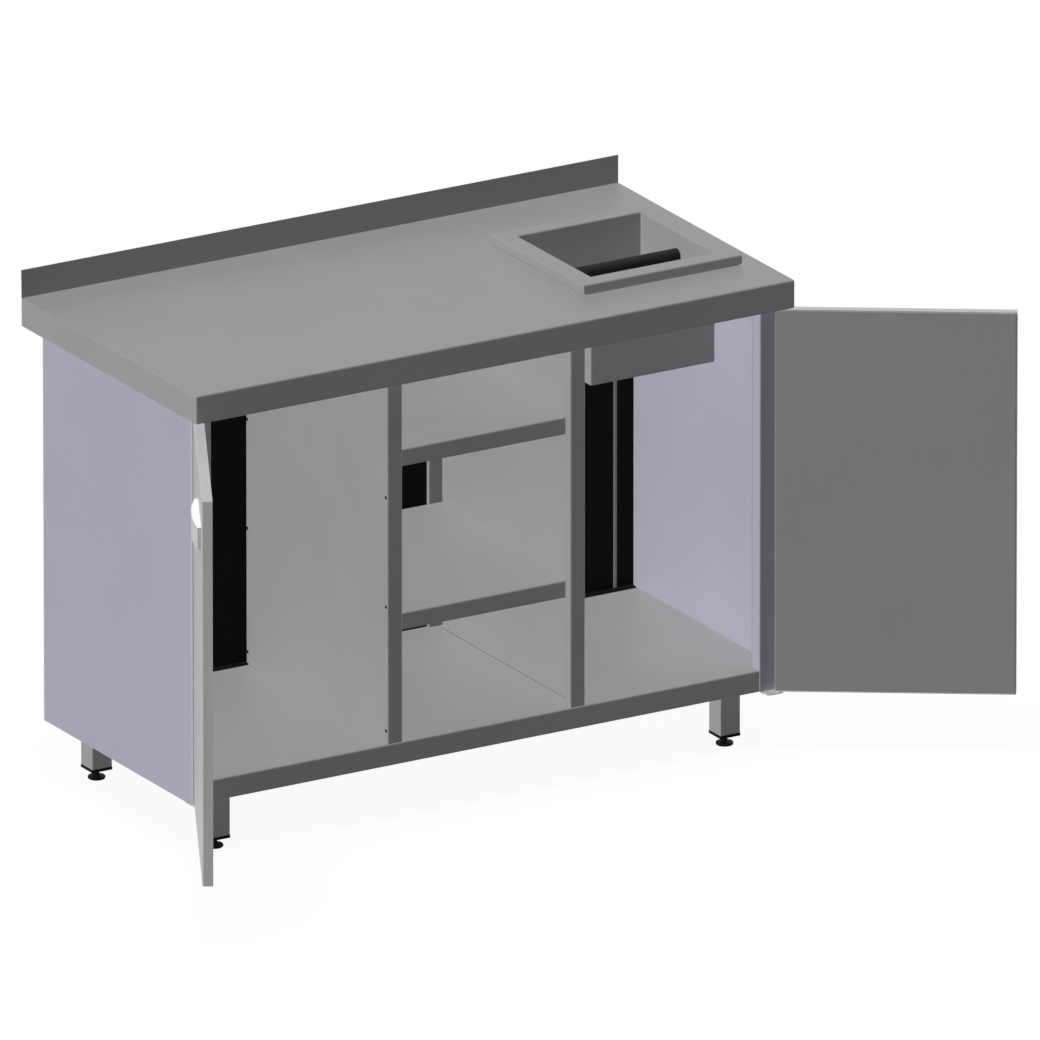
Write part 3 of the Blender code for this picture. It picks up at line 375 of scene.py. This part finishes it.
# The finish of each CAD node, by the first of these words that its name holds
FINISHES = {
    "side_panel_left": side_coating("left"),
    "side_panel_right": side_coating("right"),
    "door_left_outer_skin": door_skin("left"),
    "door_right_outer_skin": door_skin("right"),
    "door_left_inner_skin": door_liner("left"),
    "door_right_inner_skin": door_liner("right"),
    "handle_plate": ZINC,
    "_handle": HANDLE,
    "_bush_": NYLON,
    "hinge_bracket": ZINC,
    "magnet_catch": PLASTIC,
    "catch_magnet": MAGNET,
    "back_panel": BLACK,
    "back_corner": BLACK,
    "back_joint": JOINT,
    "partition": PARTITION,
    "shelf_bracket": STEEL_Y,
    "worktop_stiffener": STEEL_X,
    "worktop": WORKTOP,
    "knock_bar_sleeve": RUBBER,
    "knock_bar_nut": ZINC,
    "knock_box_gasket": SILICONE,
    "leg_plug": PLASTIC,
    "leg_": STEEL_Z,
    "levelling_foot": PLASTIC,
}


def finish_of(name):
    """The finish of a CAD node: steel along the cabinet, unless the table names another."""
    return next((finish for word, finish in FINISHES.items() if word in name), STEEL_X)


for name, node in frame["nodes"].items():
    node.data.materials.clear()
    node.data.materials.append(finish_of(name))


# Meshes of the small fasteners and the trim
DOME_STEPS = 20
DOME_ROWS = 4
HEX_SIDES = 6
WASHER_SIDES = 24
WASHER_SHARE = 0.25
WASHER_REACH = 0.72
CHAMFER_SHARE = 0.12
TOP_SHARE = 0.99


def mesh_from(bm, name, material):
    """Turns a finished bmesh into a mesh with its material."""
    mesh = bpy.data.meshes.new(name)
    bm.to_mesh(mesh)
    bm.free()
    mesh.materials.append(material)
    return mesh


def dome_mesh(name, radius, height, material):
    """A domed rivet or screw head on Z = 0, turned from a short arc."""
    bm = bmesh.new()
    turns = [2 * math.pi * step / DOME_STEPS for step in range(DOME_STEPS)]
    rings = []
    for row in range(DOME_ROWS):
        rise = math.pi / 2 * row / DOME_ROWS
        reach = radius * math.cos(rise)
        z = height * math.sin(rise)
        rings.append([bm.verts.new((reach * math.cos(turn), reach * math.sin(turn), z)) for turn in turns])
    peak = bm.verts.new((0, 0, height))
    for step in range(DOME_STEPS):
        after = (step + 1) % DOME_STEPS
        for low, high in zip(rings, rings[1:]):
            bm.faces.new((low[step], low[after], high[after], high[step]))
        bm.faces.new((rings[-1][step], rings[-1][after], peak))
    for face in bm.faces:
        face.smooth = True
    bm.faces.new(reversed(rings[0]))
    return mesh_from(bm, name, material)


def add_prism(bm, sides, radius, foot, height):
    """An upright prism that stands at the height of its foot."""
    bmesh.ops.create_cone(
        bm,
        cap_ends=True,
        segments=sides,
        radius1=radius,
        radius2=radius,
        depth=height,
        matrix=Matrix.Translation((0, 0, foot + height / 2)),
    )


def hex_mesh(name, across, height, material):
    """A hexagon bolt head on a round washer, standing on Z = 0, with its upper edges chamfered."""
    bm = bmesh.new()
    washer = height * WASHER_SHARE
    add_prism(bm, WASHER_SIDES, across * WASHER_REACH, 0, washer)
    add_prism(bm, HEX_SIDES, across / math.sqrt(3), washer, height - washer)
    tops = [edge for edge in bm.edges if all(vert.co.z > height * TOP_SHARE for vert in edge.verts)]
    bmesh.ops.bevel(
        bm,
        geom=tops,
        offset=height * CHAMFER_SHARE,
        segments=2,
        profile=0.5,
        affect="EDGES",
    )
    return mesh_from(bm, name, material)


def drawn_mesh(name, outline, along, material):
    """A straight trim whose outline is drawn out along a vector."""
    bm = bmesh.new()
    face = bm.faces.new([bm.verts.new(corner) for corner in outline])
    grown = bmesh.ops.extrude_face_region(bm, geom=[face])["geom"]
    moved = [item for item in grown if isinstance(item, bmesh.types.BMVert)]
    bmesh.ops.translate(bm, verts=moved, vec=along)
    bmesh.ops.recalc_face_normals(bm, faces=bm.faces)
    return mesh_from(bm, name, material)


def fix(name, mesh, place, outward):
    """Puts a small piece on a face of the cabinet, along the face's outward direction."""
    piece = bpy.data.objects.new(name, mesh)
    bpy.context.scene.collection.objects.link(piece)
    turn = Vector(UP).rotation_difference(Vector(outward)).to_matrix().to_4x4()
    piece.matrix_world = Matrix.Translation(place) @ turn
    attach(piece, "cabinet")


# Small fasteners, in metres
SHEET = 0.0015
RIVET_RADIUS = 0.0032
RIVET_HEIGHT = 0.0013
RIVET_FRONT_INSET = 0.0055
RIVET_REAR_INSET = 0.0095
RIVET_LEVELS = (0.1695, 0.3968, 0.597, 0.804)
BOLT_ACROSS = 0.010
BOLT_HEIGHT = 0.005
BOLT_INSET = 0.009
BOLT_CORNERS = ((-1, -1), (1, -1), (1, 1), (-1, 1))
LEG_PLATE = 0.003
PIN_HEAD = 0.0015
BRACKET_PLATE = 0.0025
BRACKET_SCREW_RADIUS = 0.0038
BRACKET_SCREW_HEIGHT = 0.0018
BRACKET_SCREW_INSETS = (0.006, 0.018)
BRACKET_SCREW_SETBACK = 0.013
BACK_SCREW_RADIUS = 0.0042
BACK_SCREW_HEIGHT = 0.0022
BACK_SCREW_EDGE = 0.012
BACK_SCREW_COLUMNS = 9


def outer_face(label):
    """The place on X of a partition's web, on the side of its cupboard."""
    low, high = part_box("partition_" + label)
    return low.x if label == "left" else high.x


def add_rivets():
    """Rivet heads along the front and rear edges of each partition's web."""
    head = dome_mesh("rivet_head", RIVET_RADIUS, RIVET_HEIGHT, PLASTIC)
    for label, side in SIDES.items():
        low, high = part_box("partition_" + label)
        rows = {"front": low.y + RIVET_FRONT_INSET, "rear": high.y - RIVET_REAR_INSET}
        for row, y in rows.items():
            for count, z in enumerate(RIVET_LEVELS):
                place = (outer_face(label), y, z)
                fix(f"rivet_{label}_{row}_{count}", head, place, (side, 0, 0))


def add_leg_bolts():
    """Bolt heads under the plate of each leg."""
    head = hex_mesh("bolt_head", BOLT_ACROSS, BOLT_HEIGHT, ZINC)
    for corner in ("front_left", "front_right", "rear_left", "rear_right"):
        low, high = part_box("leg_" + corner)
        middle = (low + high) / 2
        reach = (high.x - low.x) / 2 - BOLT_INSET
        for count, (across, along) in enumerate(BOLT_CORNERS):
            place = (middle.x + across * reach, middle.y + along * reach, high.z - LEG_PLATE)
            fix(f"leg_bolt_{corner}_{count}", head, place, DOWN)


def add_bracket_screws():
    """Screw heads under the plate of each hinge bracket."""
    head = dome_mesh("button_screw", BRACKET_SCREW_RADIUS, BRACKET_SCREW_HEIGHT, ZINC)
    for level in ("top", "bottom"):
        for label, side in SIDES.items():
            low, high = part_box(f"hinge_bracket_{level}_{label}")
            inner = high.x if label == "left" else low.x
            underside = high.z - PIN_HEAD - BRACKET_PLATE if level == "top" else low.z + PIN_HEAD
            for count, inset in enumerate(BRACKET_SCREW_INSETS):
                place = (inner + side * inset, high.y - BRACKET_SCREW_SETBACK, underside)
                fix(f"bracket_screw_{level}_{label}_{count}", head, place, DOWN)


def back_screw_places():
    """Two rows of screws, into the base and the rear rail, and two screws into each partition."""
    low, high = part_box("back_panel")
    first = low.x + BACK_SCREW_EDGE
    span = high.x - low.x - 2 * BACK_SCREW_EDGE
    places = []
    for column in range(BACK_SCREW_COLUMNS):
        x = first + span * column / (BACK_SCREW_COLUMNS - 1)
        places += [(x, low.z + BACK_SCREW_EDGE), (x, high.z - BACK_SCREW_EDGE)]
    for label in SIDES:
        web_low, web_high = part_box("partition_" + label)
        places += [((web_low.x + web_high.x) / 2, z) for z in RIVET_LEVELS[1:-1]]
    return places


def add_back_screws():
    """Screw heads on the back panel, seen from behind."""
    head = dome_mesh("back_screw_head", BACK_SCREW_RADIUS, BACK_SCREW_HEIGHT, ZINC)
    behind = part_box("back_panel")[0].y + SHEET
    for count, (x, z) in enumerate(back_screw_places()):
        fix(f"back_screw_{count}", head, (x, behind, z), BACKWARD)


# Thin trim on the deck, in metres
TRIM_GAP = 0.0003
TRIM_EDGE = 0.0008
FOOT_STRIP_DEPTH = 0.013
FOOT_STRIP_HEIGHT = 0.003
FOOT_STRIP_END = 0.004
FLANGE_WIDTH = 0.010
FLANGE_HEIGHT = 0.0012
FLANGE_FRONT_INSET = 0.022
FLANGE_REAR_INSET = 0.009


def strip_section(reach, height):
    """A low strip's section from its corner outwards, with a broken upper edge."""
    broken = reach - math.copysign(TRIM_EDGE, reach)
    return ((0, 0), (reach, 0), (reach, height - TRIM_EDGE), (broken, height), (0, height))


def add_foot_strip(label, side):
    """A black strip along the foot of the back panel in a cupboard."""
    corner_low, corner_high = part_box("back_corner_" + label)
    start = outer_face(label) + side * TRIM_GAP
    end = corner_low.x + FOOT_STRIP_END if label == "left" else corner_high.x - FOOT_STRIP_END
    outline = [(0, y, z) for y, z in strip_section(-FOOT_STRIP_DEPTH, FOOT_STRIP_HEIGHT)]
    strip = drawn_mesh("back_foot_strip_" + label, outline, (end - start, 0, 0), BLACK)
    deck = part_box("partition_" + label)[0].z
    place = (start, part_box("back_panel")[0].y - TRIM_GAP, deck)
    fix("back_foot_strip_" + label, strip, place, UP)


def add_foot_flange(label, side):
    """A thin flange on the deck along the foot of a wall of the middle bay."""
    low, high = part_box("partition_" + label)
    outline = [(x, 0, z) for x, z in strip_section(-side * FLANGE_WIDTH, FLANGE_HEIGHT)]
    length = high.y - low.y - FLANGE_FRONT_INSET - FLANGE_REAR_INSET
    flange = drawn_mesh("bay_foot_flange_" + label, outline, (0, length, 0), FLANGE)
    place = (outer_face(label) - side * (SHEET + TRIM_GAP), low.y + FLANGE_FRONT_INSET, low.z)
    fix("bay_foot_flange_" + label, flange, place, UP)


add_rivets()
add_leg_bolts()
add_bracket_screws()
add_back_screws()
for label, side in SIDES.items():
    add_foot_strip(label, side)
    add_foot_flange(label, side)


# Studio
WHITE = 1.0
FILL = 0.024
FLOOR_GLOW = 0.905
FLOOR_GREY = 0.05
FLOOR_REACH = 60
FLOOR_DROP = 0.0002
# The side lamps shine from just below the horizon, so that none of them glares along the worktop
SINK = -0.12
SIDE_SPREAD = math.radians(8)
BROAD_SPREAD = math.radians(30)
# Each lamp's direction, level and spread
LAMPS = {
    "light_from_left": ((-0.98, 0.2, SINK), 0.87, SIDE_SPREAD),
    "light_from_above": (UP, 0.935, BROAD_SPREAD),
    "light_from_front": ((0, -1, SINK), 0.13, SIDE_SPREAD),
    "light_from_right": ((0.9, 0.43, SINK), 0.4, SIDE_SPREAD),
}
FLOOR_LAMP = ((-0.2, -0.1, 1), 1.0, BROAD_SPREAD)


def seen_rays(tree):
    """1 for rays from the camera, mirrored rays and rays through glass, and 0 for light on a surface."""
    path = tree.nodes.new("ShaderNodeLightPath")
    value = path.outputs["Is Camera Ray"]
    for kind in ("Is Glossy Ray", "Is Transmission Ray"):
        either = tree.nodes.new("ShaderNodeMath")
        either.operation = "MAXIMUM"
        tree.links.new(value, either.inputs[0])
        tree.links.new(path.outputs[kind], either.inputs[1])
        value = either.outputs[0]
    return value


def stage_material():
    """A pale floor: near white where it is seen or mirrored, and darker where the object shades it."""
    material = bpy.data.materials.new("studio_floor")
    material.use_nodes = True
    tree = material.node_tree
    tree.nodes.clear()
    output = tree.nodes.new("ShaderNodeOutputMaterial")
    level = tree.nodes.new("ShaderNodeMath")
    level.operation = "MULTIPLY"
    level.inputs[1].default_value = FLOOR_GLOW
    tree.links.new(seen_rays(tree), level.inputs[0])
    glow = tree.nodes.new("ShaderNodeEmission")
    tree.links.new(level.outputs[0], glow.inputs["Strength"])
    diffuse = tree.nodes.new("ShaderNodeBsdfDiffuse")
    diffuse.inputs["Color"].default_value = (*grey(FLOOR_GREY), 1)
    both = tree.nodes.new("ShaderNodeAddShader")
    tree.links.new(glow.outputs[0], both.inputs[0])
    tree.links.new(diffuse.outputs[0], both.inputs[1])
    tree.links.new(both.outputs[0], output.inputs["Surface"])
    return material


def make_floor():
    """A wide floor just below the feet."""
    bm = bmesh.new()
    bmesh.ops.create_grid(bm, x_segments=1, y_segments=1, size=FLOOR_REACH)
    floor = bpy.data.objects.new("studio_floor", mesh_from(bm, "studio_floor", stage_material()))
    floor.location.z = -FLOOR_DROP
    bpy.context.scene.collection.objects.link(floor)
    return floor


def background(tree, strength):
    node = tree.nodes.new("ShaderNodeBackground")
    node.inputs["Color"].default_value = (1, 1, 1, 1)
    node.inputs["Strength"].default_value = strength
    return node.outputs[0]


def make_world():
    """White where it is seen or mirrored, and a dim even fill for everything else."""
    world = bpy.data.worlds.new("studio")
    bpy.context.scene.world = world
    world.use_nodes = True
    tree = world.node_tree
    tree.nodes.clear()
    output = tree.nodes.new("ShaderNodeOutputWorld")
    mix = tree.nodes.new("ShaderNodeMixShader")
    tree.links.new(seen_rays(tree), mix.inputs["Fac"])
    tree.links.new(background(tree, FILL), mix.inputs[1])
    tree.links.new(background(tree, WHITE), mix.inputs[2])
    tree.links.new(mix.outputs[0], output.inputs["Surface"])


def make_sun(name, towards, level, spread, lit=None):
    """A distant lamp, on everything without shadows, or on one object alone with shadows."""
    lamp = bpy.data.lights.new(name, "SUN")
    lamp.energy = math.pi * level
    lamp.angle = spread
    lamp.use_shadow = lit is not None
    sun = bpy.data.objects.new(name, lamp)
    sun.rotation_mode = "QUATERNION"
    sun.rotation_quaternion = Vector(towards).to_track_quat("Z", "Y")
    bpy.context.scene.collection.objects.link(sun)
    if lit is not None:
        receivers = bpy.data.collections.new(name + "_receivers")
        receivers.objects.link(lit)
        sun.light_linking.receiver_collection = receivers


# Camera: its direction and lens, the view's width, and its aim from the floor under the worktop's middle
CAMERA_AZIMUTH = math.radians(-30.635)
CAMERA_ELEVATION = math.radians(19.472)
CAMERA_LENS = 1690
CAMERA_SENSOR = 36
CAMERA_CLIP = (1.0, 300.0)
VIEW_WIDTH = 1.7992
AIM_RIGHT = 0.1932
AIM_UP = 0.4159
AIM_BACK = 0.256


def make_camera():
    """The photograph is a parallel view, so the camera is far away with a very long lens."""
    flat = math.cos(CAMERA_ELEVATION)
    back = Vector(
        (
            math.sin(CAMERA_AZIMUTH) * flat,
            -math.cos(CAMERA_AZIMUTH) * flat,
            math.sin(CAMERA_ELEVATION),
        )
    )
    right = Vector((math.cos(CAMERA_AZIMUTH), math.sin(CAMERA_AZIMUTH), 0))
    up = back.cross(right)
    low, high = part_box("worktop")
    foot = Vector(((low.x + high.x) / 2, (low.y + high.y) / 2, 0))
    aim = foot + right * AIM_RIGHT + up * AIM_UP + back * AIM_BACK
    data = bpy.data.cameras.new("camera")
    data.sensor_width = CAMERA_SENSOR
    data.lens = CAMERA_LENS
    data.clip_start, data.clip_end = CAMERA_CLIP
    camera = bpy.data.objects.new("camera", data)
    camera.rotation_mode = "QUATERNION"
    camera.rotation_quaternion = (-back).to_track_quat("-Z", "Y")
    camera.location = aim + back * (VIEW_WIDTH * CAMERA_LENS / CAMERA_SENSOR)
    bpy.context.scene.collection.objects.link(camera)
    bpy.context.scene.camera = camera


studio_floor = make_floor()
make_world()
for name, (towards, level, spread) in LAMPS.items():
    make_sun(name, towards, level, spread)
make_sun("shade_on_floor", *FLOOR_LAMP, lit=studio_floor)
make_camera()
bpy.context.scene.view_settings.view_transform = "Standard"
